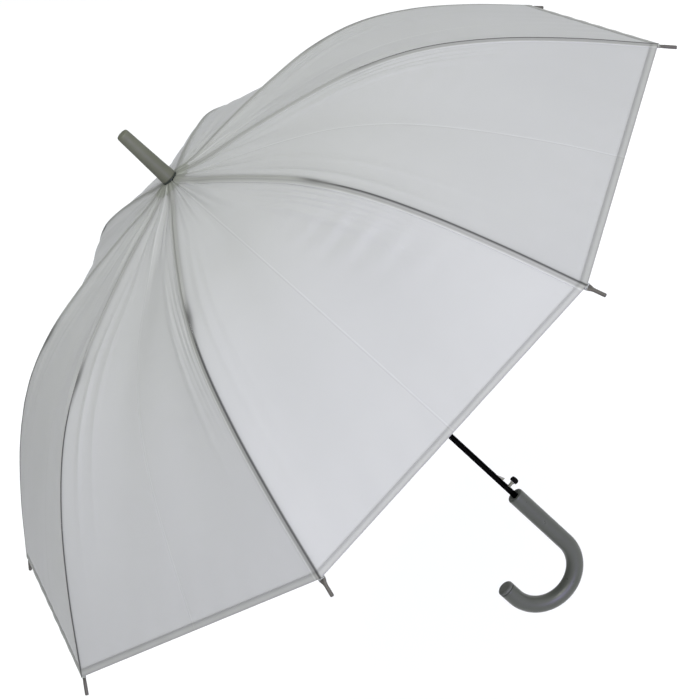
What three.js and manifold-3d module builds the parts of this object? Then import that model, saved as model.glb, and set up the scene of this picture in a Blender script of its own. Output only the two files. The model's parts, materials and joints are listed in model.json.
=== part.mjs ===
// Stick umbrella with eight ribs, an automatic-opening frame, a film canopy and a J-shaped handle.
// Units are millimetres and +Z runs up the shaft to the ferrule.
// The origin is on the shaft's axis, at the top face of the handle.
// The hook of the handle turns to -X. The push button and the catch are on the +X side.

import * as THREE from 'three';
import { mergeVertices } from 'three/addons/utils/BufferGeometryUtils.js';
import Module from 'manifold-3d';

const wasm = await Module();
wasm.setup();

// ---------------------------------------------------------------- driving dimensions

const RIB_COUNT = 8;
const HALF_GORE = Math.PI / RIB_COUNT;     // angle from a rib to the middle of a gore
const RIM_HEIGHT = 341.1;                  // plane of the canopy's corners
const GAP = 0.3;                           // clearance between neighbouring pieces

// The film's outline over a rib, as radius and height above the rim plane.
const FILM_OUTLINE = [
  [5.5, 245.9], [12, 245.6], [25, 242.8], [50, 238], [90, 233.2], [178, 217.9],
  [245, 200.8], [310.4, 171.6], [373.8, 126.7], [436.2, 68.5], [498.6, 1],
];
const FILM_THICKNESS = 0.3;
const GORE_ROWS = 14;
const HUB_HEIGHT = RIM_HEIGHT + 245.9;      // the film's centre

// The pivots of one rib, as radius and height above the rim plane.
const RIB_HINGE = [8.5, 239.4];            // in the top notch
const RIB_JOINT = [254, 194.2];            // where the channel ends and the rod begins
const STRETCHER_PIN = [248, 191.6];        // on the ear under the channel
const RUNNER_PIVOT = [11, 55.46];          // the stretcher's foot in the open runner
const RIB_DEPTH = 2.8;                     // film to rib centre line

const SHAFT_RADIUS = 3.6;
const SHAFT_BORE = 3.0;
const SHAFT_BOTTOM = -84;
const SLIDING_BORE = SHAFT_RADIUS + GAP;

const GRIP_RADIUS = 10.5;
const GRIP_STRAIGHT = 96;
const HOOK_RADIUS = 46;                    // centre line of the bend
const HOOK_RISE = 15.5;                    // straight end of the hook
const CAP_LENGTH = 5;
const RECESS_RADIUS = 4.7;                 // round the shaft, in the top of the grip
const RECESS_DEPTH = 6;

const FERRULE_LENGTH = 73.5;
const FERRULE_BASE_RADIUS = 9.3;
const FERRULE_END_RADIUS = 7.4;
const PATCH_RADIUS = 25;

const BUTTON_HEIGHT = 13.5;
const CATCH_HEIGHT = 25;                   // the catch's flat lower face
const WIRE_RADIUS = 0.5;
const PLATE = 1.2;                         // thickness of a rib's or stretcher's flat end
const SLOT = PLATE + 2 * GAP;              // slot that a flat end turns in

// ---------------------------------------------------------------- colours

const material = (color, roughness, metalness) =>
  new THREE.MeshStandardMaterial({ color, roughness, metalness });

const film = material(0xc4c8c4, 0.45, 0.0);
const darkFilm = material(0x7d827c, 0.5, 0.0);
const greyPlastic = material(0x6e7473, 0.4, 0.0);
const blackPlastic = material(0x17181a, 0.35, 0.0);
const capPlastic = material(0x7c8281, 0.4, 0.0);
const blackSteel = material(0x0c0c0e, 0.3, 0.7);
const plainSteel = material(0xb9bbbd, 0.28, 1.0);
const glassFibre = material(0x23241f, 0.4, 0.0);

// ---------------------------------------------------------------- shape helpers

const umbrella = new THREE.Group();

function add(name, geometry, look, parent = umbrella) {
  const mesh = new THREE.Mesh(geometry, look);
  mesh.name = name;
  parent.add(mesh);
  return mesh;
}

function toSolid(geometry) {
  const bare = geometry.clone();
  bare.deleteAttribute('normal');
  bare.deleteAttribute('uv');
  const merged = mergeVertices(bare, 1e-4);
  return new wasm.Manifold(new wasm.Mesh({
    numProp: 3,
    vertProperties: new Float32Array(merged.attributes.position.array),
    triVerts: new Uint32Array(merged.index.array),
  }));
}

function toGeometry(solid) {
  const mesh = solid.getMesh();
  const geometry = new THREE.BufferGeometry();
  geometry.setAttribute('position', new THREE.BufferAttribute(mesh.vertProperties, 3));
  geometry.setIndex(new THREE.BufferAttribute(mesh.triVerts, 1));
  geometry.computeVertexNormals();
  return geometry;
}

const join = (...geometries) =>
  toGeometry(geometries.map(toSolid).reduce((whole, piece) => whole.add(piece)));
const cut = (geometry, ...tools) =>
  toGeometry(tools.map(toSolid).reduce((whole, tool) => whole.subtract(tool), toSolid(geometry)));

// A turned piece: the outline is radius and height, and the axis is Z.
function turned(outline, segments = 24) {
  const points = outline.map(([radius, height]) => new THREE.Vector2(radius, height));
  return new THREE.LatheGeometry(points, segments).rotateX(Math.PI / 2);
}

// A flat plate in the XZ plane, centred on y = 0.
function plate(shape, thickness) {
  const geometry = new THREE.ExtrudeGeometry(shape, {
    depth: thickness, bevelEnabled: false, curveSegments: 3,
  });
  return geometry.rotateX(Math.PI / 2).translate(0, thickness / 2, 0);
}

// A bar with round ends from one point of the XZ plane to another.
function bar([x0, z0], [x1, z1], radius) {
  const turn = Math.atan2(z1 - z0, x1 - x0);
  const shape = new THREE.Shape();
  shape.absarc(x0, z0, radius, turn + Math.PI / 2, turn + 1.5 * Math.PI);
  shape.absarc(x1, z1, radius, turn - Math.PI / 2, turn + Math.PI / 2);
  shape.closePath();
  return shape;
}

function withHole(shape, [x, z], radius) {
  shape.holes.push(new THREE.Path().absarc(x, z, radius, 0, 2 * Math.PI));
  return shape;
}

function block([x0, y0, z0], [x1, y1, z1]) {
  return new THREE.BoxGeometry(x1 - x0, y1 - y0, z1 - z0)
    .translate((x0 + x1) / 2, (y0 + y1) / 2, (z0 + z1) / 2);
}

function disc(radius, sides) {
  const corners = Array.from({ length: sides }, (_, i) => {
    const turn = (2 * Math.PI * (i + 0.5)) / sides;
    return new THREE.Vector2(radius * Math.cos(turn), radius * Math.sin(turn));
  });
  return new THREE.Shape(corners);
}

const sweep = (section, path, steps) =>
  new THREE.ExtrudeGeometry(section, { extrudePath: path, steps, bevelEnabled: false });

const smooth = (points) => new THREE.CatmullRomCurve3(
  points.map(([radius, height]) => new THREE.Vector3(radius, 0, height)), false, 'centripetal');

const raised = ([radius, height]) => [radius, height + RIM_HEIGHT];

// ---------------------------------------------------------------- the film's outline

const filmCurve = new THREE.SplineCurve(
  FILM_OUTLINE.map(([radius, height]) => new THREE.Vector2(radius, height + RIM_HEIGHT)));

// The place along the film's outline where it reaches a radius, from 0 to 1.
function alongFilm(radius) {
  let low = 0;
  let high = 1;
  for (let pass = 0; pass < 40; pass += 1) {
    const middle = (low + high) / 2;
    if (filmCurve.getPointAt(middle).x < radius) low = middle;
    else high = middle;
  }
  return low;
}

// A point at a depth under the film, on its inner side.
function underFilm(radius, depth) {
  const place = alongFilm(radius);
  const point = filmCurve.getPointAt(place);
  const tangent = filmCurve.getTangentAt(place);
  return [point.x + tangent.y * depth, point.y - tangent.x * depth];
}

// ---------------------------------------------------------------- shaft, ferrule and notch

function makeShaft() {
  const top = HUB_HEIGHT + 22;
  const tube = turned([
    [SHAFT_BORE, SHAFT_BOTTOM], [SHAFT_RADIUS, SHAFT_BOTTOM],
    [SHAFT_RADIUS, top], [SHAFT_BORE, top], [SHAFT_BORE, SHAFT_BOTTOM],
  ], 20);
  const catchSlot = block([1, -1.2, CATCH_HEIGHT - 1.5], [8, 1.2, CATCH_HEIGHT + 13]);
  const buttonSlot = block([1, -2.4, BUTTON_HEIGHT - 2.6], [8, 2.4, BUTTON_HEIGHT + 2.6]);
  add('shaft_tube', cut(tube, catchSlot, buttonSlot), blackSteel);
}

function makeFerrule() {
  const base = HUB_HEIGHT + 2.4;
  const end = base + FERRULE_LENGTH;
  add('ferrule', turned([
    [0, base + 24], [SLIDING_BORE, base + 24], [SLIDING_BORE, base],
    [FERRULE_BASE_RADIUS, base], [FERRULE_BASE_RADIUS + 0.2, base + 3],
    [FERRULE_BASE_RADIUS - 0.5, base + 12],
    [FERRULE_END_RADIUS + 0.1, end - 8], [FERRULE_END_RADIUS - 0.1, end - 2.4],
    [FERRULE_END_RADIUS - 0.8, end - 0.8], [FERRULE_END_RADIUS - 2, end], [0, end],
  ], 20), greyPlastic);
  add('film_washer', turned([
    [SLIDING_BORE, base - 1.3], [9.9, base - 1.3], [9.9, base - GAP],
    [SLIDING_BORE, base - GAP], [SLIDING_BORE, base - 1.3],
  ], 20), blackPlastic);
  const patchLine = [SLIDING_BORE + 1.7, 12, 18, PATCH_RADIUS].map((radius) =>
    [radius, underFilm(radius, 0)[1]]);
  const lift = (height) => patchLine.map(([radius, z]) => [radius, z + height]);
  add('crown_patch', turned([
    ...lift(0.5), ...lift(0.8).reverse(), lift(0.5)[0],
  ], 24), darkFilm);
}

function makeNotch() {
  const [hingeRadius, hingeHeight] = raised(RIB_HINGE);
  const bottom = hingeHeight - 4;
  const top = HUB_HEIGHT - 1.2;
  const inner = hingeRadius - WIRE_RADIUS - GAP;
  const outer = hingeRadius + WIRE_RADIUS + GAP;
  const grooveTop = hingeHeight + WIRE_RADIUS + GAP;
  const hub = turned([
    [SLIDING_BORE, bottom], [inner, bottom], [inner, grooveTop], [outer, grooveTop],
    [outer, bottom], [11.5, bottom], [11.5, top - 1.2], [10, top],
    [SLIDING_BORE, top], [SLIDING_BORE, bottom],
  ], 24);
  const slots = radialSlots(5.9, bottom - 1, hingeHeight + 2.8);
  add('top_notch', cut(hub, ...slots), blackPlastic);
  add('notch_wire', wireRing(hingeRadius, hingeHeight), plainSteel);
}

// A ring of round wire about the shaft, closed on itself.
function wireRing(radius, height) {
  return new THREE.TorusGeometry(radius, WIRE_RADIUS, 4, 32).translate(0, 0, height);
}

// One slot for each rib, from an inner radius outwards.
function radialSlots(innerRadius, bottom, top) {
  return ribAzimuths().map((azimuth) =>
    block([innerRadius, -SLOT / 2, bottom], [20, SLOT / 2, top]).rotateZ(azimuth));
}

function ribAzimuths() {
  return Array.from({ length: RIB_COUNT }, (_, i) => HALF_GORE * (2 * i + 1));
}

// ---------------------------------------------------------------- ribs, tips and stretchers

const CORNER_RADIUS = 497.6;
const TIP_START = 2;                       // past the film's corner
const TIP_LENGTH = 20;
const ROD_RADIUS = 1.5;
const TIP_BORE = ROD_RADIUS + GAP;

const hinge = raised(RIB_HINGE);
const ribJoint = raised(RIB_JOINT);
const pin = raised(STRETCHER_PIN);
const foot = raised(RUNNER_PIVOT);

const innerCurve = smooth([
  hinge, ...[50, 110, 180].map((radius) => underFilm(radius, RIB_DEPTH)), ribJoint,
]);
const corner = underFilm(CORNER_RADIUS, RIB_DEPTH);
const outerCurve = smooth([
  ribJoint, ...[311, 375, 437].map((radius) => underFilm(radius, RIB_DEPTH)), corner,
]);
const cornerTangent = outerCurve.getTangentAt(1);
const beyondCorner = (distance) =>
  [corner[0] + cornerTangent.x * distance, corner[1] + cornerTangent.z * distance];

// Part of a curve as a curve of its own, with from and to between 0 and 1.
function stretchOf(curve, from, to, points = 12) {
  return new THREE.CatmullRomCurve3(Array.from({ length: points + 1 }, (_, i) =>
    curve.getPointAt(from + ((to - from) * i) / points)));
}

// The steel channel: a flat eye in the notch, a U section open downwards, and an ear.
function innerRibGeometry() {
  const length = innerCurve.getLength();
  const channelHalf = 1.8;
  const wall = 0.5;
  const inside = channelHalf - wall;
  const section = new THREE.Shape([
    [-channelHalf, -1.6], [channelHalf, -1.6], [channelHalf, 1.6], [inside, 1.6],
    [inside, -1.1], [-inside, -1.1], [-inside, 1.6], [-channelHalf, 1.6],
  ].map(([x, y]) => new THREE.Vector2(x, y)));
  const channel = sweep(section, stretchOf(innerCurve, 15 / length, 1 - 2 / length), 6);
  const eyeEnd = innerCurve.getPointAt(24 / length);
  const eye = plate(withHole(bar(hinge, [eyeEnd.x, eyeEnd.z], 1.9), hinge, 0.9), PLATE);
  const earRoot = innerCurve.getPointAt(1 - 6 / length);
  const ear = plate(withHole(bar(pin, [earRoot.x, earRoot.z - 0.4], 1.7), pin, 0.9), 1.0);
  return join(channel, eye, ear);
}

// The rod runs on into the bore of the rib tip.
function outerRibGeometry() {
  const rod = stretchOf(outerCurve, 0, 1, 12);
  const end = beyondCorner(TIP_START + 8);
  rod.points.push(new THREE.Vector3(end[0], 0, end[1]));
  return sweep(disc(ROD_RADIUS, 6), rod, 10);
}

function tipGeometry() {
  return turned([
    [0, 9], [TIP_BORE, 9], [TIP_BORE, 0], [2.5, 0], [2.5, 14],
    [1.8, TIP_LENGTH - 1], [0, TIP_LENGTH],
  ], 10).rotateY(Math.PI / 2);
}

const stretcherLength = Math.hypot(pin[0] - foot[0], pin[1] - foot[1]);
const stretcherRise = Math.atan2(pin[1] - foot[1], pin[0] - foot[0]);

// Along +X from the foot's pivot to the fork's pin.
function stretcherGeometry() {
  const flat = plate(withHole(bar([0, 0], [34, 0], 1.6), [0, 0], 0.8), PLATE);
  const beam = cut(
    block([30, -1.6, -1.4], [stretcherLength - 13, 1.6, 1.4]),
    block([31, -1.1, -2], [stretcherLength - 14, 1.1, 0.8]),
  );
  const tine = (side) => plate(
    bar([stretcherLength - 15, 0], [stretcherLength, 0], 1.7), 0.8).translate(0, side * 1.2, 0);
  const rivet = turned([[0, -1.9], [0.6, -1.9], [0.6, 1.9], [0, 1.9]], 6)
    .rotateX(Math.PI / 2).translate(stretcherLength, 0, 0);
  return join(flat, beam, tine(1), tine(-1), rivet);
}

function makeRibs() {
  ribAzimuths().forEach((azimuth, index) => {
    const arm = new THREE.Group();
    arm.rotation.z = azimuth;
    umbrella.add(arm);
    const number = index + 1;
    add(`inner_rib_${number}`, innerRibGeometry(), blackSteel, arm);
    add(`outer_rib_${number}`, outerRibGeometry(), glassFibre, arm);
    const tip = add(`rib_tip_${number}`, tipGeometry(), greyPlastic, arm);
    const [tipX, tipZ] = beyondCorner(TIP_START);
    tip.position.set(tipX, 0, tipZ);
    tip.rotation.y = Math.atan2(-cornerTangent.z, cornerTangent.x);
    const stretcher = add(`stretcher_${number}`, stretcherGeometry(), blackSteel, arm);
    stretcher.position.set(foot[0], 0, foot[1]);
    stretcher.rotation.y = -stretcherRise;
  });
}

// ---------------------------------------------------------------- canopy film

// One gore: a sheet whose rows are straight lines from rib to rib.
function goreGeometry() {
  const sheet = new THREE.BoxGeometry(1, 1, 1, 1, GORE_ROWS, 1);
  const place = sheet.attributes.position;
  for (let i = 0; i < place.count; i += 1) {
    const along = 0.5 - place.getY(i);
    const { x: radius, y: height } = filmCurve.getPointAt(along);
    const { x: tangentX, y: tangentZ } = filmCurve.getTangentAt(along);
    const lift = place.getZ(i) * FILM_THICKNESS;
    const halfWidth = radius * Math.sin(HALF_GORE) - 0.5 * GAP;
    const outwards = radius * Math.cos(HALF_GORE);
    place.setXYZ(i,
      outwards - tangentZ * lift, 2 * halfWidth * place.getX(i), height + tangentX * lift);
  }
  return sheet;
}

function makeCanopy() {
  ribAzimuths().forEach((azimuth, index) => {
    add(`gore_${index + 1}`, goreGeometry(), film).rotation.z = azimuth + HALF_GORE;
  });
}

// ---------------------------------------------------------------- runner and opening spring

const RUNNER_LENGTH = 43.5;                // from the pivots down to the lower rim

function makeRunner() {
  const middle = foot[1];
  const body = turned([
    [SLIDING_BORE, -RUNNER_LENGTH], [10.5, -RUNNER_LENGTH], [10.5, -RUNNER_LENGTH + 3],
    [8.3, -RUNNER_LENGTH + 5], [8.3, -9], [13.2, -5.5], [13.2, 4.5],
    [SLIDING_BORE, 4.5], [SLIDING_BORE, -RUNNER_LENGTH],
  ], 24);
  const catchGroove = block([0, -1.3, -RUNNER_LENGTH - 1], [7.4, 1.3, -22]);
  add('runner', cut(body, catchGroove, ...radialSlots(7.6, -10, 6)), blackPlastic)
    .position.z = middle;
}

class Helix extends THREE.Curve {
  constructor(radius, bottom, top, turns) {
    super();
    Object.assign(this, { radius, bottom, top, turns });
  }

  getPoint(t, target = new THREE.Vector3()) {
    const turn = 2 * Math.PI * this.turns * t;
    return target.set(this.radius * Math.cos(turn), this.radius * Math.sin(turn),
      this.bottom + (this.top - this.bottom) * t);
  }
}

function makeSpring() {
  const turns = 14;
  const bottom = foot[1] + 4.5 + WIRE_RADIUS + GAP;
  const top = hinge[1] - 4 - WIRE_RADIUS - GAP;
  add('opening_spring', sweep(disc(WIRE_RADIUS, 4), new Helix(4.9, bottom, top, turns), turns * 8),
    plainSteel);
}

// ---------------------------------------------------------------- catch and push button

function makeCatch() {
  const tooth = new THREE.Shape([
    [1, CATCH_HEIGHT - 1], [3.3, CATCH_HEIGHT - 1], [3.3, CATCH_HEIGHT], [6.9, CATCH_HEIGHT],
    [3.3, CATCH_HEIGHT + 11], [1, CATCH_HEIGHT + 11],
  ].map(([x, z]) => new THREE.Vector2(x, z)));
  add('runner_catch', plate(tooth, 1.6), plainSteel);

  const leaf = new THREE.Shape([
    [-2.7, -30], [-2.3, -30], [-2.25, 10], [-2.0, CATCH_HEIGHT + 5], [-2.3, 55], [-2.7, 55],
    [-2.4, CATCH_HEIGHT + 5], [-2.65, 10],
  ].map(([x, z]) => new THREE.Vector2(x, z)));
  add('catch_spring', plate(leaf, 2), plainSteel);

  const stem = turned([[0, 1], [2, 1], [2, 8.8], [3, 8.8], [3, 9.8], [0, 9.8]], 12)
    .rotateY(Math.PI / 2).translate(0, 0, BUTTON_HEIGHT);
  add('button_stem', stem, plainSteel);
  const knob = turned([
    [0, 10.1], [4.2, 10.1], [5, 11.1], [5, 14.4], [4, 15.9], [1.9, 16.5], [0, 16.6],
  ], 20).rotateY(Math.PI / 2).translate(0, 0, BUTTON_HEIGHT);
  add('release_button', knob, blackPlastic);
}

// ---------------------------------------------------------------- handle

// The centre line of the handle: down, round towards -X, and up to the end.
function handlePath() {
  const path = new THREE.CurvePath();
  const point = (x, z) => new THREE.Vector3(x, 0, z);
  path.add(new THREE.LineCurve3(point(0, -1), point(0, -GRIP_STRAIGHT)));
  const bend = Array.from({ length: 25 }, (_, i) => {
    const turn = (Math.PI * i) / 24;
    return point(-HOOK_RADIUS * (1 - Math.cos(turn)), -GRIP_STRAIGHT - HOOK_RADIUS * Math.sin(turn));
  });
  path.add(new THREE.CatmullRomCurve3(bend));
  path.add(new THREE.LineCurve3(
    point(-2 * HOOK_RADIUS, -GRIP_STRAIGHT), point(-2 * HOOK_RADIUS, -GRIP_STRAIGHT + HOOK_RISE)));
  return path;
}

function makeHandle() {
  const stick = sweep(disc(GRIP_RADIUS, 16), handlePath(), 26);
  const rim = turned([
    [0, -12], [GRIP_RADIUS - 0.4, -12], [GRIP_RADIUS, -2.5], [GRIP_RADIUS - 0.8, -0.7],
    [GRIP_RADIUS - 2.4, 0], [0, 0],
  ], 24);
  const bore = turned([
    [0, SHAFT_BOTTOM - 2], [SLIDING_BORE, SHAFT_BOTTOM - 2], [SLIDING_BORE, -RECESS_DEPTH],
    [RECESS_RADIUS, -RECESS_DEPTH], [RECESS_RADIUS, 2], [0, 2],
  ], 20);
  add('handle_grip', cut(join(stick, rim), bore), greyPlastic);

  const cap = turned([
    [0, GAP], [GRIP_RADIUS - 0.2, GAP], [GRIP_RADIUS - 0.2, CAP_LENGTH - 1.2],
    [GRIP_RADIUS - 1.4, CAP_LENGTH], [0, CAP_LENGTH],
  ], 24);
  add('handle_end_cap', cap, capPlastic)
    .position.set(-2 * HOOK_RADIUS, 0, -GRIP_STRAIGHT + HOOK_RISE);
}

makeShaft();
makeFerrule();
makeNotch();
makeRibs();
makeCanopy();
makeRunner();
makeSpring();
makeCatch();
makeHandle();

export default umbrella;
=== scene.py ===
"""Stick umbrella: the film canopy, the plastic and steel surfaces, the camera and the lights."""

import json
import math

import bpy
import numpy as np
from mathutils import Matrix, Vector


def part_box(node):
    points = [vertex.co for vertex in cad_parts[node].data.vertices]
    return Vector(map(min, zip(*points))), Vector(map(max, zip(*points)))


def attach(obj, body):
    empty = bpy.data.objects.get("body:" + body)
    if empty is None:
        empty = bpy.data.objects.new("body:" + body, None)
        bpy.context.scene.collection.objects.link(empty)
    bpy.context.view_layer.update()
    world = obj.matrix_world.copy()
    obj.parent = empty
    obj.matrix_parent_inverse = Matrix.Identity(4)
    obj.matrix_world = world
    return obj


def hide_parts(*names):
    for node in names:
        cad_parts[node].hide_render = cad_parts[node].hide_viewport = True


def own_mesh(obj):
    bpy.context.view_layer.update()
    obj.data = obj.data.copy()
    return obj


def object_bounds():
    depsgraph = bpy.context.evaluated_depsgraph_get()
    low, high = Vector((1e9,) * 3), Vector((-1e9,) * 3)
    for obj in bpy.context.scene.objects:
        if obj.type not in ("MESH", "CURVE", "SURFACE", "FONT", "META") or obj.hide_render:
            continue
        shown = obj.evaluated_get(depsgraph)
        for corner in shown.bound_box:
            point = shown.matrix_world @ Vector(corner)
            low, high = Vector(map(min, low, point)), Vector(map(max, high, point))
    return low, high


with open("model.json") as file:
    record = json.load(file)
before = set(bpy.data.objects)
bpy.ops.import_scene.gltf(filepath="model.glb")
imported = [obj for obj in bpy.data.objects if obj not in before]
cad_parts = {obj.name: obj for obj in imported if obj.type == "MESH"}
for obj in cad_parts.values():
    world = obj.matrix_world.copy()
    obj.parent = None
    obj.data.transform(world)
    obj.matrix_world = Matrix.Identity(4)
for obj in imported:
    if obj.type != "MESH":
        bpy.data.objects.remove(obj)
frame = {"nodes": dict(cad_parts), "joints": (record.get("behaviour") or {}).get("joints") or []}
cad_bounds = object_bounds()

MM = 0.001
RIBS = 8
HALF_GORE = math.pi / RIBS                 # angle from a rib to the middle of a gore
SIN_HALF, COS_HALF = math.sin(HALF_GORE), math.cos(HALF_GORE)
JOINTS = {joint["name"]: joint for joint in frame["joints"]}


# ------------------------------------------------------------------ camera

CAMERA_PLACE = Vector((-0.0269, -2.3789, 1.2778))
CAMERA_HEADING = math.radians(89.480)      # of the line of sight, about +Z from +X
CAMERA_DIP = math.radians(22.587)          # of the line of sight below the horizontal
CAMERA_ROLL = math.radians(47.478)         # the camera's top leans to its right
CAMERA_LENS = 113.80                       # in millimetres, for the sensor's width
SENSOR_WIDTH = 36                          # in millimetres
FAR_LIMIT = 1000                           # the camera sees the floor this far


def make_camera():
    ahead = Vector((
        math.cos(CAMERA_DIP) * math.cos(CAMERA_HEADING),
        math.cos(CAMERA_DIP) * math.sin(CAMERA_HEADING),
        -math.sin(CAMERA_DIP),
    ))
    level = ahead.cross(Vector((0, 0, 1))).normalized()
    upright = level.cross(ahead)
    up = upright * math.cos(CAMERA_ROLL) + level * math.sin(CAMERA_ROLL)
    right = ahead.cross(up)
    turn = Matrix((right, up, -ahead)).transposed().to_4x4()
    data = bpy.data.cameras.new("camera")
    data.lens = CAMERA_LENS
    data.sensor_width = SENSOR_WIDTH
    data.clip_end = FAR_LIMIT
    camera = bpy.data.objects.new("camera", data)
    camera.matrix_world = Matrix.Translation(CAMERA_PLACE) @ turn
    bpy.context.scene.collection.objects.link(camera)
    bpy.context.scene.camera = camera


# ------------------------------------------------------------------ materials

def new_material(name):
    material = bpy.data.materials.new(name)
    material.use_nodes = True
    nodes, links = material.node_tree.nodes, material.node_tree.links
    return material, nodes, links, nodes["Principled BSDF"]


def noise(nodes, links, vector, scale, detail, roughness=0.5):
    """A noise texture's output."""
    texture = nodes.new("ShaderNodeTexNoise")
    texture.inputs["Scale"].default_value = scale
    texture.inputs["Detail"].default_value = detail
    texture.inputs["Roughness"].default_value = roughness
    links.new(vector, texture.inputs["Vector"])
    return texture.outputs["Fac"]


def ramp(nodes, links, value, stops):
    """A colour ramp of (place, colour) stops."""
    node = nodes.new("ShaderNodeValToRGB")
    elements = node.color_ramp.elements
    while len(elements) < len(stops):
        elements.new(0.5)
    for element, (place, colour) in zip(elements, stops):
        element.position = place
        element.color = (*colour, 1)
    links.new(value, node.inputs["Fac"])
    return node.outputs["Color"]


def bump(nodes, links, height, distance, strength=1.0, normal=None):
    """The normal of a surface with a height map, over another normal if there is one."""
    node = nodes.new("ShaderNodeBump")
    node.inputs["Distance"].default_value = distance
    node.inputs["Strength"].default_value = strength
    links.new(height, node.inputs["Height"])
    if normal is not None:
        links.new(normal, node.inputs["Normal"])
    return node.outputs["Normal"]


def remap(nodes, links, value, low, high, to_low, to_high):
    """The value moved from one range to another and held inside it."""
    node = nodes.new("ShaderNodeMapRange")
    for name, number in zip(("From Min", "From Max", "To Min", "To Max"),
                            (low, high, to_low, to_high)):
        node.inputs[name].default_value = number
    links.new(value, node.inputs["Value"])
    return node.outputs["Result"]


def scaled(colour, factor):
    return tuple(channel * factor for channel in colour)


NOISE_LOW, NOISE_HIGH = 0.3, 0.7           # where nearly all of a noise texture's values lie


def solid_material(name, colour, roughness, grain, grain_depth, mottle, metallic=0.0,
                   spread=0.08, specular=0.5):
    """A moulded or lacquered surface: fine grain, slow mottling and uneven gloss."""
    material, nodes, links, shader = new_material(name)
    place = nodes.new("ShaderNodeTexCoord").outputs["Object"]
    slow = noise(nodes, links, place, 28.0, 4.0, 0.6)
    links.new(ramp(nodes, links, slow, [(NOISE_LOW, scaled(colour, 1 - mottle)),
                                        (NOISE_HIGH, scaled(colour, 1 + mottle))]),
              shader.inputs["Base Color"])
    smear = noise(nodes, links, place, 70.0, 5.0, 0.65)
    links.new(remap(nodes, links, smear, NOISE_LOW, NOISE_HIGH, roughness - spread,
                    roughness + spread), shader.inputs["Roughness"])
    fine = noise(nodes, links, place, grain, 2.0)
    links.new(bump(nodes, links, fine, grain_depth), shader.inputs["Normal"])
    shader.inputs["Metallic"].default_value = metallic
    shader.inputs["Specular IOR Level"].default_value = specular
    return material


FILM_COLOUR = (0.356, 0.359, 0.356)
FILM_GLOW = (0.372, 0.375, 0.376)
RAMP_TOP = 1.5                             # the share that a ramp's white stands for
# Painted shade and painted highlights on the film. Each line is (millimetres, share of its own
# colour, share of blue).
OVER_CHANNEL = [                           # painted shadow of a rib's steel channel and a painted highlight on the seam's free edge, across the channel from its lapped side
    (-10, 1, 1), (-8.4, 0.96, 1), (-7.6, 0.94, 1), (-6.7, 1.19, 1), (-5.6, 1.08, 0.99),
    (-4, 0.99, 0.98), (-2.8, 0.86, 0.98), (-1.5, 0.97, 0.97), (0, 1.02, 0.97),
    (1.5, 0.96, 0.97), (2.7, 0.83, 0.98), (4, 0.88, 0.99), (5.5, 0.94, 1), (7.5, 0.98, 1),
    (10, 1, 1),
]
OVER_ROD = [                               # painted shadow of a rib's rod, painted shade over the seam strip and a painted highlight on its free edge, across the rod
    (-10, 1, 1), (-8.6, 0.97, 1), (-7.7, 1.0, 1), (-6.9, 1.27, 1), (-6.0, 1.20, 0.98),
    (-5.2, 0.95, 0.97), (-4.5, 0.82, 0.97), (-3.7, 0.78, 0.97), (-3, 0.85, 0.97),
    (-2.2, 0.85, 0.97), (-1.4, 0.58, 0.98), (-0.8, 0.28, 1), (0, 0.18, 1), (0.7, 0.30, 1),
    (1.5, 0.80, 1), (2.4, 1, 1), (10, 1, 1),
]
INTO_RIM = [                               # painted shade at the hem's folded edge and inner edge, and painted light over the band between, inwards from the hem's folded edge
    (0, 0.74, 0.98), (0.8, 0.84, 0.98), (1.8, 1.03, 0.97), (3.5, 1.05, 0.97), (5, 1.0, 0.98),
    (6.2, 0.90, 0.98), (7.4, 0.80, 0.99), (8.4, 0.84, 1), (9.6, 0.95, 1), (11, 1, 1),
]
FROM_HUB = [                               # painted shade of the top notch and the hub's frame, outwards over the top notch; a little lighter in the middle and darker towards the rim
    (8, 0.66, 0.97), (14, 0.76, 0.97), (20, 0.80, 0.98), (28, 0.87, 0.99), (40, 0.93, 1),
    (64, 0.97, 1), (120, 1.02, 1), (300, 1.02, 1), (420, 0.985, 1), (500, 0.965, 1),
]
AT_CREASE = [                              # a painted highlight on one side and painted shade on the other, across the pressed line in the middle of a gore
    (-3, 1, 1), (-1.7, 1.0, 1), (-0.9, 1.13, 1), (0, 1.02, 1), (0.7, 0.89, 1), (1.6, 1, 1),
    (3, 1, 1),
]
CHANNEL_END, ROD_START = 0.236, 0.285      # radii between which the channel gives way to the rod
CLIP_RADIUS = 0.248                        # where the stretcher's ear presses on the film
CLIP_SHADOW_LENGTH, CLIP_SHADOW_WIDTH = 0.021, 3.4 * MM  # half the painted shadow of the ear
CLIP_SHADOW_OFFSET = 1.0 * MM                     # of the painted shadow from the rib's middle
CLIP_SHADE = 0.55                          # share of the light that the ear takes
MIX_FIRST, MIX_SECOND, MIX_RESULT = 6, 7, 2    # the colour sockets of a mix node


def shade_line(nodes, links, value, stops):
    """A ramp over a length in metres, with its stops in millimetres."""
    first, last = stops[0][0], stops[-1][0]
    place = remap(nodes, links, value, first * MM, last * MM, 0.0, 1.0)
    return ramp(nodes, links, place, [
        ((at - first) / (last - first), scaled((share, share, share * blue), 1 / RAMP_TOP))
        for at, share, blue in stops])


def calculate(nodes, links, operation, first, second):
    """A math node; either operand is a number or an output."""
    node = nodes.new("ShaderNodeMath")
    node.operation = operation
    for socket, operand in zip(node.inputs, (first, second)):
        if isinstance(operand, (int, float)):
            socket.default_value = operand
        else:
            links.new(operand, socket)
    return node.outputs["Value"]


def bell(nodes, links, value, middle, width):
    """1 at the middle, falling off over the width."""
    off = calculate(nodes, links, "SUBTRACT", value, middle)
    off = calculate(nodes, links, "DIVIDE", off, width)
    return calculate(nodes, links, "POWER", 1 / math.e,
                     calculate(nodes, links, "MULTIPLY", off, off))


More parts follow.
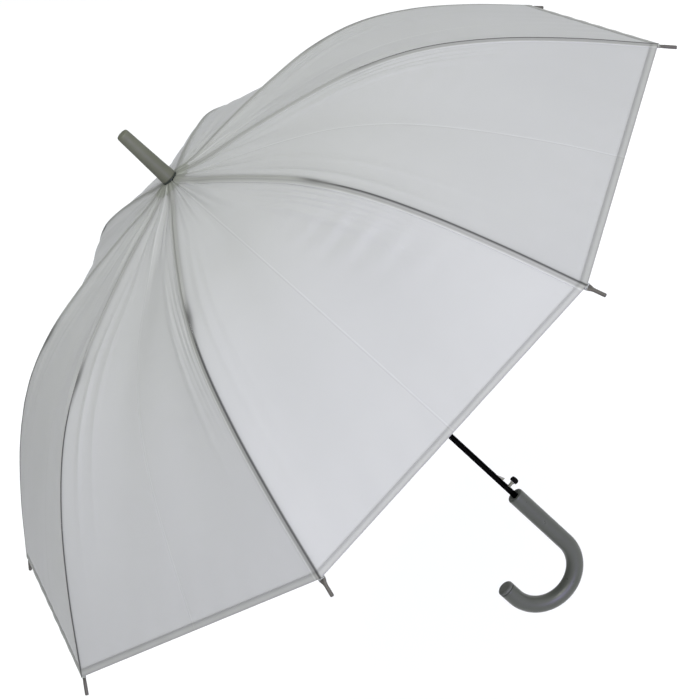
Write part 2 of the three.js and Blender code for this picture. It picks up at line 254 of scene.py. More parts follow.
def multiplied(nodes, links, first, second):
    """Two colours multiplied; the second is an output or a plain colour."""
    mix = nodes.new("ShaderNodeMix")
    mix.data_type, mix.blend_type = "RGBA", "MULTIPLY"
    mix.clamp_result = False
    mix.inputs["Factor"].default_value = 1.0
    links.new(first, mix.inputs[MIX_FIRST])
    if isinstance(second, tuple):
        mix.inputs[MIX_SECOND].default_value = (*second, 1)
    else:
        links.new(second, mix.inputs[MIX_SECOND])
    return mix.outputs[MIX_RESULT]


def film_shade(nodes, links, place):
    """The film's painted shade over the ribs, the clips, the hub, the hem and the crease, with
    painted highlights on the seams' free edges, over the hem band and beside the crease.
    """
    attribute = nodes.new("ShaderNodeAttribute")
    attribute.attribute_name = "film_place"
    split = nodes.new("ShaderNodeSeparateXYZ")
    links.new(attribute.outputs["Vector"], split.inputs["Vector"])
    offset, rim, radius = (split.outputs[axis] for axis in "XYZ")
    # painted shadow of the rib under the film, with a painted highlight on the seam's free edge
    channel = shade_line(nodes, links, offset, OVER_CHANNEL)
    rod = shade_line(nodes, links, offset, OVER_ROD)
    change = nodes.new("ShaderNodeMix")
    change.data_type = "RGBA"
    links.new(remap(nodes, links, radius, CHANNEL_END, ROD_START, 0.0, 1.0),
              change.inputs["Factor"])
    links.new(channel, change.inputs[MIX_FIRST])
    links.new(rod, change.inputs[MIX_SECOND])
    # painted shade and light at the hem, then the painted shade at the hub
    shade = multiplied(nodes, links, change.outputs[MIX_RESULT],
                       shade_line(nodes, links, rim, INTO_RIM))
    shade = multiplied(nodes, links, shade, shade_line(nodes, links, radius, FROM_HUB))
    # painted shadow of the stretcher's ear on the film
    clip = calculate(nodes, links, "MULTIPLY",
                     bell(nodes, links, radius, CLIP_RADIUS, CLIP_SHADOW_LENGTH),
                     bell(nodes, links, offset, CLIP_SHADOW_OFFSET, CLIP_SHADOW_WIDTH))
    clip = calculate(nodes, links, "MULTIPLY", clip, CLIP_SHADE)
    # the crease's painted highlight and shade, by signed distance from the gore's middle
    middle = calculate(nodes, links, "SUBTRACT",
                       calculate(nodes, links, "MULTIPLY", radius, SIN_HALF),
                       calculate(nodes, links, "ABSOLUTE", offset, 0.0))
    middle = calculate(nodes, links, "MULTIPLY", middle,
                       calculate(nodes, links, "SIGN", offset, 0.0))
    shade = multiplied(nodes, links, shade, shade_line(nodes, links, middle, AT_CREASE))
    cloud = noise(nodes, links, place, 6.0, 3.0)
    light = remap(nodes, links, cloud, NOISE_LOW, NOISE_HIGH, 0.975, 1.01)
    light = calculate(nodes, links, "MULTIPLY", light,
                      calculate(nodes, links, "SUBTRACT", 1.0, clip))
    grey = nodes.new("ShaderNodeCombineColor")
    for channel_name in ("Red", "Green", "Blue"):
        links.new(light, grey.inputs[channel_name])
    return multiplied(nodes, links, shade, grey.outputs["Color"])


def film_shader(name, colour, glow, share):
    """Matt translucent film. share is how much of the light goes through it."""
    material, nodes, links, shader = new_material(name)
    place = nodes.new("ShaderNodeTexCoord").outputs["Object"]
    shade = film_shade(nodes, links, place)
    frost = noise(nodes, links, place, 1400.0, 2.0)
    ripple = noise(nodes, links, place, 26.0, 3.0, 0.55)
    normal = bump(nodes, links, frost, 0.012 * MM)
    normal = bump(nodes, links, ripple, 0.35 * MM, 0.5, normal)
    lift = RAMP_TOP ** 4                   # shade is the product of four ramps
    links.new(multiplied(nodes, links, shade, scaled(colour, lift)), shader.inputs["Base Color"])
    links.new(normal, shader.inputs["Normal"])
    shader.inputs["Roughness"].default_value = 0.42
    shader.inputs["Specular IOR Level"].default_value = 0.35
    through = nodes.new("ShaderNodeBsdfTranslucent")
    links.new(multiplied(nodes, links, shade, scaled(glow, lift)), through.inputs["Color"])
    links.new(normal, through.inputs["Normal"])
    both = nodes.new("ShaderNodeMixShader")
    both.inputs["Fac"].default_value = share
    links.new(shader.outputs["BSDF"], both.inputs[1])
    links.new(through.outputs["BSDF"], both.inputs[2])
    links.new(both.outputs["Shader"], nodes["Material Output"].inputs["Surface"])
    return material


MATERIALS = {
    "film": film_shader("film", FILM_COLOUR, FILM_GLOW, 0.44),
    "double_film": film_shader("double_film", scaled(FILM_COLOUR, 1.04), scaled(FILM_GLOW, 0.95),
                               0.42),
    "crown_film": film_shader("crown_film", (0.331, 0.341, 0.320), (0.346, 0.356, 0.338), 0.40),
    "grey_plastic": solid_material("grey_plastic", (0.0385, 0.0420, 0.0335), 0.34, 700.0,
                                   0.045 * MM, 0.07, specular=0.38),
    "ferrule_plastic": solid_material("ferrule_plastic", (0.070, 0.073, 0.053), 0.50, 700.0,
                                      0.03 * MM, 0.06, specular=0.25),
    "tip_plastic": solid_material("tip_plastic", (0.052, 0.048, 0.042), 0.48, 900.0, 0.03 * MM,
                                  0.08, specular=0.25),
    "cap_plastic": solid_material("cap_plastic", (0.058, 0.061, 0.053), 0.38, 700.0, 0.03 * MM,
                                  0.05, specular=0.3),
    "black_plastic": solid_material("black_plastic", (0.002, 0.002, 0.0015), 0.40, 900.0,
                                    0.03 * MM, 0.15, specular=0.03),
    "black_steel": solid_material("black_steel", (0.001, 0.001, 0.0015), 0.20, 160.0,
                                  0.01 * MM, 0.2, spread=0.05, specular=0.02),
    "plain_steel": solid_material("plain_steel", (0.55, 0.55, 0.54), 0.28, 400.0, 0.01 * MM,
                                  0.06, metallic=1.0),
    "dull_steel": solid_material("dull_steel", (0.17, 0.172, 0.13), 0.45, 400.0, 0.02 * MM, 0.12,
                                 metallic=0.8),
    "washer_plastic": solid_material("washer_plastic", (0.020, 0.026, 0.021), 0.40, 900.0,
                                     0.02 * MM, 0.1, specular=0.3),
    "glass_fibre": solid_material("glass_fibre", (0.020, 0.020, 0.018), 0.40, 500.0, 0.015 * MM,
                                  0.2, specular=0.2),
    "thread": solid_material("thread", (0.30, 0.31, 0.29), 0.75, 1500.0, 0.06 * MM, 0.1),
}


# ------------------------------------------------------------------ mesh helpers

def mesh_piece(name, points, faces, materials, places=None, face_slots=None):
    """A smooth-shaded mesh object; places is the film shader's vector for each point."""
    mesh = bpy.data.meshes.new(name)
    mesh.from_pydata([tuple(point) for point in points], [], [tuple(face) for face in faces])
    for material in materials:
        mesh.materials.append(MATERIALS[material])
    mesh.polygons.foreach_set("use_smooth", [True] * len(mesh.polygons))
    if face_slots is not None:
        mesh.polygons.foreach_set("material_index", face_slots)
    if places is not None:
        layer = mesh.attributes.new("film_place", "FLOAT_VECTOR", "POINT")
        layer.data.foreach_set("vector", np.ascontiguousarray(places, float).ravel())
    mesh.update()
    piece = bpy.data.objects.new(name, mesh)
    bpy.context.scene.collection.objects.link(piece)
    return piece


def grid_faces(rows, columns, start=0, closed=False, flip=False):
    """Quads of a grid of points stored row by row. closed joins the last column to the first."""
    faces = []
    for row in range(rows - 1):
        for column in range(columns if closed else columns - 1):
            beside = (column + 1) % columns
            a, b = start + row * columns + column, start + row * columns + beside
            face = (a, b, b + columns, a + columns)
            faces.append(face[::-1] if flip else face)
    return faces


def turned_piece(name, outline, material, sides, place=(0, 0, 0)):
    """A solid turned about an upright axis. outline is (radius, height) from its bottom up."""
    outline = np.asarray(outline, float)
    angles = np.linspace(0, 2 * math.pi, sides, endpoint=False)
    rings = [np.column_stack((radius * np.cos(angles), radius * np.sin(angles),
                              np.full(sides, height))) for radius, height in outline]
    points = np.vstack(rings + [[(0, 0, outline[0][1])], [(0, 0, outline[-1][1])]])
    faces = grid_faces(len(outline), sides, closed=True)
    first, last = len(outline) * sides, len(outline) * sides + 1
    top = (len(outline) - 1) * sides
    for side in range(sides):
        beside = (side + 1) % sides
        faces.append((first, beside, side))
        faces.append((last, top + side, top + beside))
    return mesh_piece(name, points + np.asarray(place, float), faces, [material])


def rounded(corners, radius, steps=5):
    """An outline whose inner corners are rounded off by arcs of about that radius."""
    corners = [np.asarray(corner, float) for corner in corners]
    outline = [corners[0]]
    for before, corner, after in zip(corners, corners[1:], corners[2:]):
        back, ahead = before - corner, after - corner
        reach = min(radius, 0.45 * np.linalg.norm(back), 0.45 * np.linalg.norm(ahead))
        start = corner + back / np.linalg.norm(back) * reach
        end = corner + ahead / np.linalg.norm(ahead) * reach
        for t in np.linspace(0, 1, steps):
            outline.append((1 - t) ** 2 * start + 2 * t * (1 - t) * corner + t * t * end)
    outline.append(corners[-1])
    return outline


def spline(knots, steps=24):
    """A centripetal Catmull-Rom line through the knots, with steps points in each span."""
    knots = np.asarray(knots, float)
    knots = np.vstack((2 * knots[0] - knots[1], knots, 2 * knots[-1] - knots[-2]))
    line = []
    for p0, p1, p2, p3 in zip(knots, knots[1:], knots[2:], knots[3:]):
        t0 = 0.0
        t1 = t0 + math.sqrt(np.linalg.norm(p1 - p0))
        t2 = t1 + math.sqrt(np.linalg.norm(p2 - p1))
        t3 = t2 + math.sqrt(np.linalg.norm(p3 - p2))
        for t in np.linspace(t1, t2, steps, endpoint=False):
            a1 = (t1 - t) / (t1 - t0) * p0 + (t - t0) / (t1 - t0) * p1
            a2 = (t2 - t) / (t2 - t1) * p1 + (t - t1) / (t2 - t1) * p2
            a3 = (t3 - t) / (t3 - t2) * p2 + (t - t2) / (t3 - t2) * p3
            b1 = (t2 - t) / (t2 - t0) * a1 + (t - t0) / (t2 - t0) * a2
            b2 = (t3 - t) / (t3 - t1) * a2 + (t - t1) / (t3 - t1) * a3
            line.append((t2 - t) / (t2 - t1) * b1 + (t - t1) / (t2 - t1) * b2)
    line.append(knots[-2])
    return np.array(line)


# ------------------------------------------------------------------ the canopy's line over a rib

def rib_azimuth(number):
    """Azimuth of rib 1 to 8, from its own fold hinge."""
    x, y, _ = JOINTS[f"rib_{number}_fold"]["pos_m"]
    return math.atan2(y, x)


def node_points(node):
    return np.array([vertex.co for vertex in frame["nodes"][node].data.vertices], float)


# The film's line over a rib, from the crown to the rim: radius and height above the rim's plane.
FILM_OUTLINE = [
    (5.5, 245.9), (12, 245.6), (25, 242.8), (50, 238), (90, 233.2), (178, 217.9),
    (245, 200.8), (310.4, 171.6), (373.8, 126.7), (436.2, 68.5), (498.6, 1),
]
RIM_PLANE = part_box("gore_1")[0].z - 1 * MM


class FilmLine:
    """The film's line over a rib, by distance along it."""

    def __init__(self, knots):
        self.line = spline(knots)
        steps = np.linalg.norm(np.diff(self.line, axis=0), axis=1)
        self.run = np.concatenate(([0], np.cumsum(steps)))
        self.length = self.run[-1]
        self.slope = np.gradient(self.line, self.run, axis=0)

    def at(self, distance):
        """Radius, height and their rates at distances along the line."""
        return (np.interp(distance, self.run, self.line[:, 0]),
                np.interp(distance, self.run, self.line[:, 1]),
                np.interp(distance, self.run, self.slope[:, 0]),
                np.interp(distance, self.run, self.slope[:, 1]))

    def distance(self, radius):
        return np.interp(radius, self.line[:, 0], self.run)


FILM = FilmLine([(radius * MM, height * MM + RIM_PLANE) for radius, height in FILM_OUTLINE])
RIM_RADIUS = FILM.line[-1, 0]
HUB_RADIUS = 9.5 * MM                      # where the film starts, over the ribs' hinges


# ------------------------------------------------------------------ film surface

GORE_PHASE = 1.7                           # turns the waves of one gore against the next
SAG = 9 * MM                               # of the film's middle below the line from rib to rib
# Waves: (depth, rate across the gore, rate outwards, share of the gore's phase).
HUB_PLEATS = [(1.10 * MM, 8, 0, 1), (0.75 * MM, 17, 9, 2.3), (0.32 * MM, 31, -14, 4.1)]
CREASES = [(0.38 * MM, 900, 22, 1), (0.14 * MM, 1900, -40, 3)]
DRAPES = [(0.95 * MM, 12, 215, 1), (0.2375 * MM, -40, 430, 2)]
RIM_RIPPLE = [(0.25 * MM, 26, 60, 1)]
SWELL = [(1.3 * MM, 6.5, 7.5, 1)]
# Long folds beside the rib before or after the gore: (metres from it, drift, depth, turn).
FOLDS_BEFORE = [(0.019, 0.03, 1.5 * MM, 1.3), (0.036, 0.06, 0.9 * MM, 2.9)]
FOLDS_AFTER = [(0.030, 0.05, 1.2 * MM, 0.4)]
FOLD_WIDTH = 4.5 * MM
CLIP_PRESS = 0.9 * MM                      # how far the ear's clip draws the film in
PRESSED_LINE = 0.22 * MM                   # depth of the crease in the gore's middle


def hill(value, middle, width):
    """1 at the middle, falling off over the width."""
    return np.exp(-((value - middle) / width) ** 2)


def waves(terms, across, outwards, phase):
    """The sum of a list of waves."""
    return sum(depth * np.sin(rate_across * across + rate_out * outwards + turn * phase)
               for depth, rate_across, rate_out, turn in terms)


def long_folds(folds, gap, radius, gore):
    """Soft folds from the crown past the clip. gap is the distance from their rib."""
    total = 0
    for start, drift, depth, turn in folds:
        shift = 0.006 * math.sin(gore * 2.4 + turn)
        line = start + shift + drift * (radius - 0.2)
        total = total + depth * hill(radius, 0.25 + 2 * shift, 0.11) * hill(gap, line, FOLD_WIDTH)
    return total


def film_relief(distance, radius, lateral, gore):
    """How far the film stands off the flat strip between two ribs.

    lateral runs from -1 at one rib to 1 at the next, so both halves of a gore agree at 0.
    """
    share = distance / FILM.length
    slack = 1 - lateral ** 2
    phase = GORE_PHASE * gore
    from_first = (1 + lateral) * radius * SIN_HALF     # metres from the rib at -1
    from_next = (1 - lateral) * radius * SIN_HALF      # metres from the rib at 1
    from_middle = np.abs(lateral) * radius * SIN_HALF

    sag = -SAG * np.sin(math.pi * np.clip(share, 0, 1)) ** 1.2 * slack
    swell = waves(SWELL, lateral, share, phase) * slack * 4 * share * (1 - share)
    pleats = waves(HUB_PLEATS, lateral, radius, phase) * slack * hill(radius, 0.07, 0.075)
    ripple = waves(RIM_RIPPLE, lateral, radius, phase) * slack * hill(radius, RIM_RADIUS, 0.05)
    folds = (long_folds(FOLDS_BEFORE, from_first, radius, gore)
             + long_folds(FOLDS_AFTER, from_next, radius, gore))

    # Drawn creases along the lapped side of the seam, on both sides of the clip.
    creases = waves(CREASES, from_next, radius, phase) * (
        hill(radius, 0.275 + 0.02 * math.sin(2.1 * gore), 0.075)
        * hill(from_next, 0.016, 0.014) * (1 - hill(from_next, 0, 0.005)))

    # Short drapes square to the lapped side, where the clip draws the film in.
    drapes = waves(DRAPES, from_next, radius, phase) * (0.6 + 0.4 * math.cos(2.1 * gore)) * (
        hill(radius, 0.335, 0.058) * hill(from_next, 0.048, 0.032))

    press = CLIP_PRESS * hill(radius, CLIP_RADIUS, 0.02) * (
        hill(from_first, 0.006, 0.006) + hill(from_next, 0.009, 0.006))
    crease = PRESSED_LINE * hill(from_middle, 0, 0.0016) * np.minimum(1, radius / 0.12)
    return sag + swell + pleats + ripple + folds + creases + drapes - press - crease


def gore_number(number, side):
    """The gore on that side of a rib."""
    return number if side > 0 else (number - 2) % RIBS + 1


def film_points(distance, inward, side, number, lift=0.0):
    """Points of the film beside a rib.

    distance runs along the rib's line. inward is 0 at the rib and 1 at the gore's middle.
    side is 1 for the half on the counterclockwise side of the rib and -1 for the other.
    The second result is the film shader's vector: metres from the rib, signed by side, metres
    from the rim, and radius.
    """
    radius, height, rate_out, rate_up = FILM.at(distance)
    lateral = -side * (1 - inward)
    gore = gore_number(number, side)
    relief = film_relief(distance, radius, lateral, gore) + lift
    slope = np.hypot(rate_out * COS_HALF, rate_up)
    outwards = radius * COS_HALF - rate_up / slope * relief
    upwards = height + rate_out * COS_HALF / slope * relief
    sideways = lateral * radius * SIN_HALF
    middle = rib_azimuth(number) + side * HALF_GORE
    points = np.stack((outwards * math.cos(middle) - sideways * math.sin(middle),
                       outwards * math.sin(middle) + sideways * math.cos(middle),
                       upwards), axis=-1)
    offset = side * inward * radius * SIN_HALF
    place = np.stack((offset, FILM.length - distance, radius), axis=-1)
    return points, place


def film_columns():
    """Places of the mesh's columns, closer together beside the rib and at the middle crease."""
    beside, between = ((46, 24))
    at_rib, at_middle = [0.004], [0.975, 0.984, 0.990, 0.994, 0.997]
    return np.unique(np.concatenate((np.linspace(0, 0.4, beside), np.linspace(0.4, 1, between),
                                     at_rib, at_middle)))


SEAM_WIDTH = 7.2 * MM
SEAM_START = 22 * MM                       # radius where the seam comes out of the crown
HEM_WIDTH = 8 * MM
# Cross-sections of the welded strips: place across as a share of the width, and height.
SEAM_PROFILE = [(-0.04, 0.0), (0.0, 0.34 * MM), (0.08, 0.42 * MM), (0.45, 0.36 * MM),
                (0.52, 0.24 * MM), (0.59, 0.36 * MM), (0.9, 0.36 * MM), (0.97, 0.46 * MM),
                (1.0, 0.38 * MM), (1.03, 0.0)]
HEM_PROFILE = [(0.0, 0.0), (0.01, 0.34 * MM), (0.06, 0.5 * MM), (0.14, 0.42 * MM),
               (0.5, 0.4 * MM), (0.86, 0.38 * MM), (0.93, 0.22 * MM), (0.97, 0.4 * MM),
               (1.0, 0.4 * MM), (1.03, 0.0)]


class Sheet:
    """Collects the grids of one film piece."""

    def __init__(self):
        self.points, self.places, self.faces, self.slots = [], [], [], []
        self.count = 0

    def add(self, grid, slot, flip):
        points, places = grid
        rows, columns = points.shape[:2]
        faces = grid_faces(rows, columns, self.count, flip=flip)
        self.points.append(points.reshape(-1, 3))
        self.places.append(places.reshape(-1, 3))
        self.faces += faces
        self.slots += [slot] * len(faces)
        self.count += rows * columns

    def piece(self, name):
        return mesh_piece(name, np.vstack(self.points), self.faces, ["film", "double_film"],
                          np.vstack(self.places), self.slots)


def joint_place(name):
    """Radius and height of a joint's pivot."""
    x, y, z = JOINTS[name]["pos_m"]
    return math.hypot(x, y), z


HINGE = joint_place("rib_1_fold")
ROD_JOINT = joint_place("rod_1_flex")


def cut_distance(inward):
    """Where the film is divided: under the plane through the rod's joint, square to the rib."""
    return FILM.distance(ROD_JOINT[0] / (1 - inward * SIN_HALF ** 2))


def half_gore(number, side, part):
    """The inner or outer part of the film on one side of a rib."""
    columns = film_columns()
    cut = cut_distance(columns)
    start = float(FILM.distance(HUB_RADIUS))
    low, high = (np.full_like(cut, start), cut) if part == "inner" else (
        cut, np.full_like(cut, FILM.length))
    rows = 60
    share = np.linspace(0, 1, rows)[:, None]
    distance = low + (high - low) * share
    flip = side < 0
    sheet = Sheet()
    grid = film_points(distance, np.broadcast_to(columns, distance.shape), side, number)
    sheet.add(grid, 0, flip)
    if side < 0:
        sheet.add(seam_grid(number, side, float(low[0]), float(high[0]), rows, part), 1, flip)
    if part == "outer":
        sheet.add(hem_grid(number, side, columns), 1, not flip)
    piece = sheet.piece(f"film_{part}_{number}_{'left' if side > 0 else 'right'}")
    collapse(piece, number, side, part)


def seam_grid(number, side, low, high, rows, part):
    """The lapped and welded strip along the rib."""
    if part == "inner":
        low = float(FILM.distance(SEAM_START))
    distance = np.linspace(low, high, rows)[:, None] * np.ones(len(SEAM_PROFILE))
    across = np.array([place for place, _ in SEAM_PROFILE])
    lift = np.array([height for _, height in SEAM_PROFILE])
    inward = np.clip(across, 0, None) * SEAM_WIDTH / (FILM.at(distance)[0] * SIN_HALF)
    return film_points(distance, inward, side, number, lift)


def hem_grid(number, side, columns):
    """The folded and welded band along the rim, from the rib to the gore's middle."""
    across = np.array([place for place, _ in HEM_PROFILE])[:, None]
    lift = np.array([height for _, height in HEM_PROFILE])[:, None]
    distance = FILM.length - across * HEM_WIDTH + 0 * columns
    return film_points(distance, np.broadcast_to(columns, distance.shape), side, number,
                       np.broadcast_to(lift, distance.shape))


def collapse(piece, number, side, part):
    """The film rides on its rib, or on its rod outboard of the cut, in place of the CAD gore."""
    inner = part == "inner"
    start, end = (HINGE, ROD_JOINT) if inner else (ROD_JOINT, tuple(FILM.line[-1]))
    azimuth = rib_azimuth(number)
    outwards = np.array([math.cos(azimuth), math.sin(azimuth), 0])
    along = outwards * (end[0] - start[0]) + np.array([0, 0, end[1] - start[1]])
    along /= np.linalg.norm(along)
    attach(piece, f"rib_{number}" if inner else f"rod_{number}")
    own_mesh(piece)
    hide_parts(f"gore_{gore_number(number, side)}")


def make_canopy():
    for number in range(1, RIBS + 1):
        for side in (1, -1):
            for part in ("inner", "outer"):
                half_gore(number, side, part)
        crown_sector(number)


PATCH_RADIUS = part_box("crown_patch")[1].x
PATCH_LIFT = (0.75 * MM, 0.55 * MM)        # above the film, at the crown and at the patch's edge


def crown_sector(number):
    """One rib's share of the round film patch at the crown, which lies on the film."""
    rows, columns = 10, 9
    inward = np.linspace(0, 1, columns)[None, :] * np.ones((rows, 1))
    reach = np.linspace(HUB_RADIUS + 0.5 * MM, PATCH_RADIUS, rows)[:, None]
    radius = reach / np.hypot(COS_HALF, (1 - inward) * SIN_HALF)
    lift = np.linspace(*PATCH_LIFT, rows)[:, None] * np.ones(columns)
    sheet = Sheet()
    for side in (1, -1):
        sheet.add(film_points(FILM.distance(radius), inward, side, number, lift), 0, side < 0)
    piece = mesh_piece(f"crown_film_{number}", np.vstack(sheet.points), sheet.faces,
                       ["crown_film"], np.vstack(sheet.places))
    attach(piece, f"rib_{number}")
    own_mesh(piece)
    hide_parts("crown_patch")


# ------------------------------------------------------------------ rib tips and their threads

def tip_axis(number):
    """Inner end, outer end and direction of a CAD rib tip."""
    points = node_points(f"rib_tip_{number}")
    centre = points.mean(axis=0)
    spread = np.linalg.eigh(np.cov((points - centre).T))[1][:, -1]
    if spread[2] > 0:
        spread = -spread
    along = (points - centre) @ spread
    return centre + spread * along.min(), centre + spread * along.max(), spread


# Place past the CAD tip's start, half width and half height, all in millimetres.
TIP_SECTIONS = [
    (-9, 1.7, 1.7), (-8.6, 2.0, 1.9), (-6.5, 2.2, 1.9), (-4.5, 3.3, 1.5), (-3, 3.8, 1.25),
    (0.5, 3.9, 1.2), (2.5, 3.5, 1.3), (4.5, 2.6, 1.7), (6.5, 2.1, 1.95),
]


def tube(line, radius, sides=8):
    """Rings of a closed tube round a closed line of points."""
    line = np.asarray(line, float)
    ahead = np.roll(line, -1, axis=0) - np.roll(line, 1, axis=0)
    ahead /= np.linalg.norm(ahead, axis=1)[:, None]
    outwards = line - line.mean(axis=0)
    outwards -= (outwards * ahead).sum(axis=1)[:, None] * ahead
    outwards /= np.linalg.norm(outwards, axis=1)[:, None]
    across = np.cross(ahead, outwards)
    angles = np.linspace(0, 2 * math.pi, sides, endpoint=False)
    rings = (line[:, None] + radius * (np.cos(angles)[None, :, None] * outwards[:, None]
                                       + np.sin(angles)[None, :, None] * across[:, None]))
    rings = np.concatenate((rings, rings[:1]))
    count = len(line) * sides
    faces = [tuple(corner % count for corner in face)
             for face in grid_faces(len(rings), sides, closed=True, flip=True)]
    return rings[:-1].reshape(-1, 3), faces


THREAD_RADIUS = 0.22 * MM
THREAD_TURNS = [(-1.6, 0.5), (-0.9, -0.3), (-0.2, 0.2), (0.5, -0.5)]   # place and lean, in mm


def make_tip(number):
    """The moulded tip, flattened where the film is tied to it, and the thread of the tie."""
    inner, outer, along = tip_axis(number)
    azimuth = rib_azimuth(number)
    sideways = np.array([-math.sin(azimuth), math.cos(azimuth), 0])
    upwards = np.cross(along, sideways)
    if upwards[2] < 0:
        upwards = -upwards
    length = float(np.linalg.norm(outer - inner)) / MM
    sections = TIP_SECTIONS + [
        (8.5, 2.0, 2.0), (length - 2, 2.05, 2.05), (length - 0.7, 2.0, 2.0),
        (length - 0.15, 1.7, 1.7), (length, 1.2, 1.2)]
    places, widths, heights = np.array(sections).T * MM
    fine = np.unique(np.concatenate((places, np.linspace(places[0], places[-1], 40))))
    widths, heights = np.interp(fine, places, widths), np.interp(fine, places, heights)
    sides = 28
    angles = np.linspace(0, 2 * math.pi, sides, endpoint=False)
    rings = [inner + along * place + width * np.cos(angles)[:, None] * sideways
             + height * np.sin(angles)[:, None] * upwards
             for place, width, height in zip(fine, widths, heights)]
    points = np.vstack(rings + [[inner + along * fine[0]], [inner + along * fine[-1]]])
    flip = float(np.cross(sideways, upwards) @ along) < 0
    faces = grid_faces(len(rings), sides, closed=True, flip=flip)
    start, end, top = len(rings) * sides, len(rings) * sides + 1, (len(rings) - 1) * sides
    for side in range(sides):
        beside = (side + 1) % sides
        caps = [(start, beside, side), (end, top + side, top + beside)]
        faces += [cap[::-1] for cap in caps] if flip else caps
    tip = mesh_piece(f"tip_{number}", points, faces, ["tip_plastic"])
    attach(tip, f"rod_{number}")
    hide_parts(f"rib_tip_{number}")

    loops, loop_faces = [], []
    turns = np.linspace(0, 2 * math.pi, 24, endpoint=False)
    for place, lean in THREAD_TURNS:
        line = [inner + along * (place + lean * math.cos(turn)) * MM
                + sideways * 4.15 * MM * math.cos(turn)
                + upwards * (0.55 + 2.1 * math.sin(turn)) * MM for turn in turns]
        ring, faces = tube(line, THREAD_RADIUS)
        base = sum(len(loop) for loop in loops)
        loop_faces += [tuple(corner + base for corner in face) for face in faces]
        loops.append(ring)
    thread = mesh_piece(f"thread_{number}", np.vstack(loops), loop_faces, ["thread"])
    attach(thread, f"rod_{number}")


# ------------------------------------------------------------------ ferrule and handle

def make_ferrule():
    low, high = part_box("ferrule")
    base, end, radius = low.z, high.z, high.x
    tip = radius - 1.9 * MM
    outline = rounded([
        (0, base), (radius - 0.4 * MM, base), (radius, base + 1.2 * MM), (radius, base + 4 * MM),
        (radius - 0.5 * MM, base + 12 * MM), (tip, end - 6 * MM), (tip - 0.2 * MM, end - 2 * MM),
        (tip - 1.0 * MM, end - 0.5 * MM), (tip - 2.6 * MM, end), (0, end)], 2.2 * MM, 8)
    ferrule = turned_piece("ferrule_shell", outline, "ferrule_plastic", 72)
    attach(ferrule, "shaft")
    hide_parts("ferrule")


CAP_INSET = 0.2 * MM                       # of the end cap's side from the handle's
BORE_RADIUS, BORE_DEPTH = 4.6 * MM, 9 * MM
LIP = 2.4 * MM                             # half the thickness of the rounded top rim
RECESS = 1.0 * MM                          # depth of the recess inside the rim


def handle_line(hook, straight, rise):
    """The handle's centre line from its top to the hook's end."""
    down = [(0, 0, z) for z in np.linspace(0, -straight, 40, endpoint=False)]
    bend = [(-hook * (1 - math.cos(turn)), 0, -straight - hook * math.sin(turn))
            for turn in np.linspace(0, math.pi, 64, endpoint=False)]
    up = [(-2 * hook, 0, z) for z in np.linspace(-straight, -straight + rise, 8)]
    return np.array(down + bend + up)


def make_handle():
    low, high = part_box("handle_grip")
    cap_low, cap_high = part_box("handle_end_cap")
    grip = (cap_high.y - cap_low.y) / 2 + CAP_INSET
    hook = (-low.x - grip) / 2
    straight = -(low.z + grip) - hook
    rise = cap_low.z + straight
    line = handle_line(hook, straight, rise)
    ahead = np.gradient(line, axis=0)
    ahead /= np.linalg.norm(ahead, axis=1)[:, None]
    run = np.concatenate(([0], np.cumsum(np.linalg.norm(np.diff(line, axis=0), axis=1))))
    swell = 1 + 0.03 * np.exp(-((run - straight - hook * 1.2) / (hook * 1.1)) ** 2)
    sides = 48
    angles = np.linspace(0, 2 * math.pi, sides, endpoint=False)
    sideways = np.array([0, 1, 0])

    def ring(centre, direction, radius):
        upwards = np.cross(direction, sideways)
        return centre + radius * (np.cos(angles)[:, None] * sideways
                                  + np.sin(angles)[:, None] * upwards)

    top, down = line[0], ahead[0]
    rings = [ring(top + down * depth, down, radius) for radius, depth in [
        (BORE_RADIUS, BORE_DEPTH), (BORE_RADIUS, RECESS + 0.6 * MM),
        (BORE_RADIUS + 0.6 * MM, RECESS + 0.1 * MM), (grip - LIP - 1.2 * MM, RECESS)]]
    for turn in np.linspace(0.15, 1, 9) * math.pi:
        rings.append(ring(top + down * (LIP - LIP * math.sin(turn) ** 0.9), down,
                          grip - LIP - LIP * math.cos(turn)))
    rings += [ring(centre, direction, grip * size) for centre, direction, size in zip(
        line[3:], ahead[3:], swell[3:])]
    end, direction = line[-1], ahead[-1]
    rings.append(ring(end, direction, grip - 0.35 * MM))
    points = np.vstack(rings)
    faces = grid_faces(len(rings), sides, closed=True, flip=True)
    count = len(points)
    points = np.vstack((points, [rings[0].mean(axis=0), rings[-1].mean(axis=0)]))
    last_ring = (len(rings) - 1) * sides
    for side in range(sides):
        beside = (side + 1) % sides
        faces.append((count, side, beside))
        faces.append((count + 1, last_ring + beside, last_ring + side))
    handle = mesh_piece("handle_shell", points, faces, ["grey_plastic"])
    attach(handle, "shaft")
    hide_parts("handle_grip")

    length = cap_high.z - cap_low.z
    cap = turned_piece("end_cap", rounded([
        (0, 0), (grip - 0.5 * MM, 0), (grip - 0.1 * MM, 0.5 * MM), (grip, length - 2.2 * MM),
        (grip - 2.4 * MM, length), (0, length)], 1.4 * MM, 6), "cap_plastic", 64,
        end + direction * 0.35 * MM)
    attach(cap, "shaft")
    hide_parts("handle_end_cap")


# ------------------------------------------------------------------ CAD pieces that stay

WELD_DISTANCE = 0.002 * MM
EDGE_WIDTH = 0.12 * MM
EDGE_ANGLE = math.radians(40)              # sharper edges are bevelled
CAD_LOOKS = {
    "shaft_tube": "black_steel", "film_washer": "washer_plastic", "top_notch": "black_plastic",
    "notch_wire": "plain_steel", "runner": "black_plastic", "opening_spring": "plain_steel",
    "runner_catch": "dull_steel", "catch_spring": "plain_steel", "button_stem": "dull_steel",
    "release_button": "black_plastic",
}


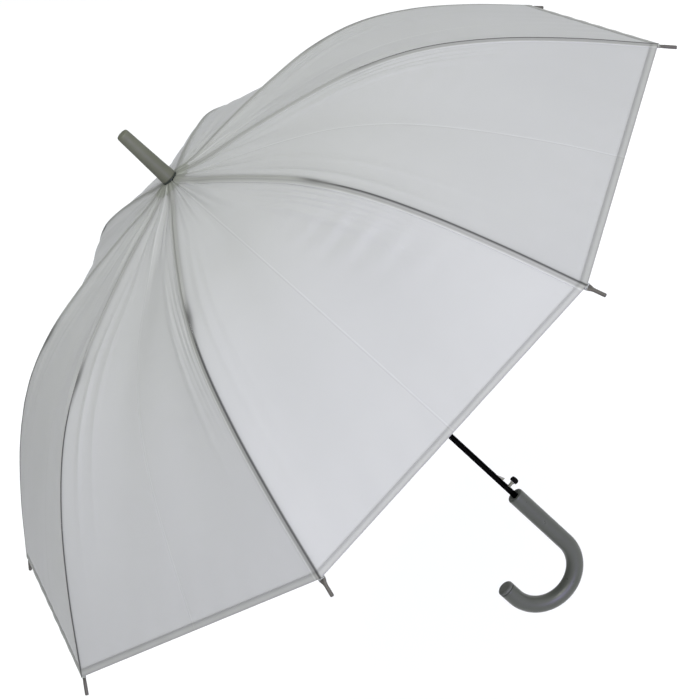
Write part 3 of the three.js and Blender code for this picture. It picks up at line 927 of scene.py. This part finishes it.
def dress_cad():
    """Materials, smooth shading and fine bevels for the CAD pieces that stay."""
    looks = dict(CAD_LOOKS)
    for number in range(1, RIBS + 1):
        looks[f"inner_rib_{number}"] = "black_steel"
        looks[f"stretcher_{number}"] = "black_steel"
        looks[f"outer_rib_{number}"] = "glass_fibre"
    for node, look in looks.items():
        piece = frame["nodes"][node]
        mesh = piece.data
        mesh.materials.clear()
        mesh.materials.append(MATERIALS[look])
        mesh.polygons.foreach_set("use_smooth", [True] * len(mesh.polygons))
        mesh.polygons.foreach_set("material_index", [0] * len(mesh.polygons))
        weld = piece.modifiers.new("weld", "WELD")
        weld.merge_threshold = WELD_DISTANCE
        bevel = piece.modifiers.new("edges", "BEVEL")
        bevel.width = EDGE_WIDTH
        bevel.segments = 2
        bevel.limit_method = "ANGLE"
        bevel.angle_limit = EDGE_ANGLE
        bevel.harden_normals = True


# ------------------------------------------------------------------ floor and light

BRIGHT_SIDE = (0.554, -0.730, -0.400)      # the studio is brighter towards the camera's right
STUDIO_TINT = (0.985, 1.0, 1.015)
STUDIO_DARKEST, STUDIO_BRIGHTEST = 0.34, 2.16
FLOOR_DROP = 0.45                          # below the hook
FLOOR_REACH = 400
LAMP_SIZE = 1.8
LAMP_TARGET = (0, 0, 0.45)
LAMPS = [                                  # name, place, watts, colour
    ("key", (0.2, -2.3, 2.2), 62, (0.965, 1.0, 0.86)),
    ("fill", (0.1, -3.0, 0.3), 52, (0.556, 0.472, 1.0)),
]


def area_light(name, place, power, colour):
    """A round lamp that faces the canopy."""
    data = bpy.data.lights.new(name, "AREA")
    data.shape = "DISK"
    data.size = LAMP_SIZE
    data.energy = power
    data.color = colour
    lamp = bpy.data.objects.new(name, data)
    lamp.location = place
    aim = Vector(LAMP_TARGET) - Vector(place)
    lamp.rotation_euler = aim.to_track_quat("-Z", "Y").to_euler()
    bpy.context.scene.collection.objects.link(lamp)


def make_floor():
    height = cad_bounds[0][2] - FLOOR_DROP
    mesh = bpy.data.meshes.new("floor")
    mesh.from_pydata([(x * FLOOR_REACH, y * FLOOR_REACH, height)
                      for x, y in ((-1, -1), (1, -1), (1, 1), (-1, 1))], [], [(0, 1, 2, 3)])
    material, _, _, shader = new_material("floor")
    shader.inputs["Base Color"].default_value = (0.95, 0.95, 0.95, 1)
    shader.inputs["Roughness"].default_value = 0.9
    shader.inputs["Emission Color"].default_value = (1, 1, 1, 1)
    shader.inputs["Emission Strength"].default_value = 0.06
    mesh.materials.append(material)
    floor = bpy.data.objects.new("floor", mesh)
    bpy.context.scene.collection.objects.link(floor)


def make_studio():
    """Soft light from all round, brighter on one side."""
    world = bpy.data.worlds.new("studio")
    world.use_nodes = True
    nodes, links = world.node_tree.nodes, world.node_tree.links
    backdrop = nodes["Background"]
    aim = nodes.new("ShaderNodeVectorMath")
    aim.operation = "DOT_PRODUCT"
    links.new(nodes.new("ShaderNodeTexCoord").outputs["Generated"], aim.inputs[0])
    aim.inputs[1].default_value = BRIGHT_SIDE
    backdrop.inputs["Color"].default_value = (*STUDIO_TINT, 1)
    links.new(remap(nodes, links, aim.outputs["Value"], -1.0, 1.0, STUDIO_DARKEST,
                    STUDIO_BRIGHTEST), backdrop.inputs["Strength"])
    bpy.context.scene.world = world


make_camera()
make_floor()
make_studio()
for lamp_settings in LAMPS:
    area_light(*lamp_settings)
make_canopy()
for rib in range(1, RIBS + 1):
    make_tip(rib)
make_ferrule()
make_handle()
dress_cad()
bpy.context.scene.view_settings.view_transform = "Standard"
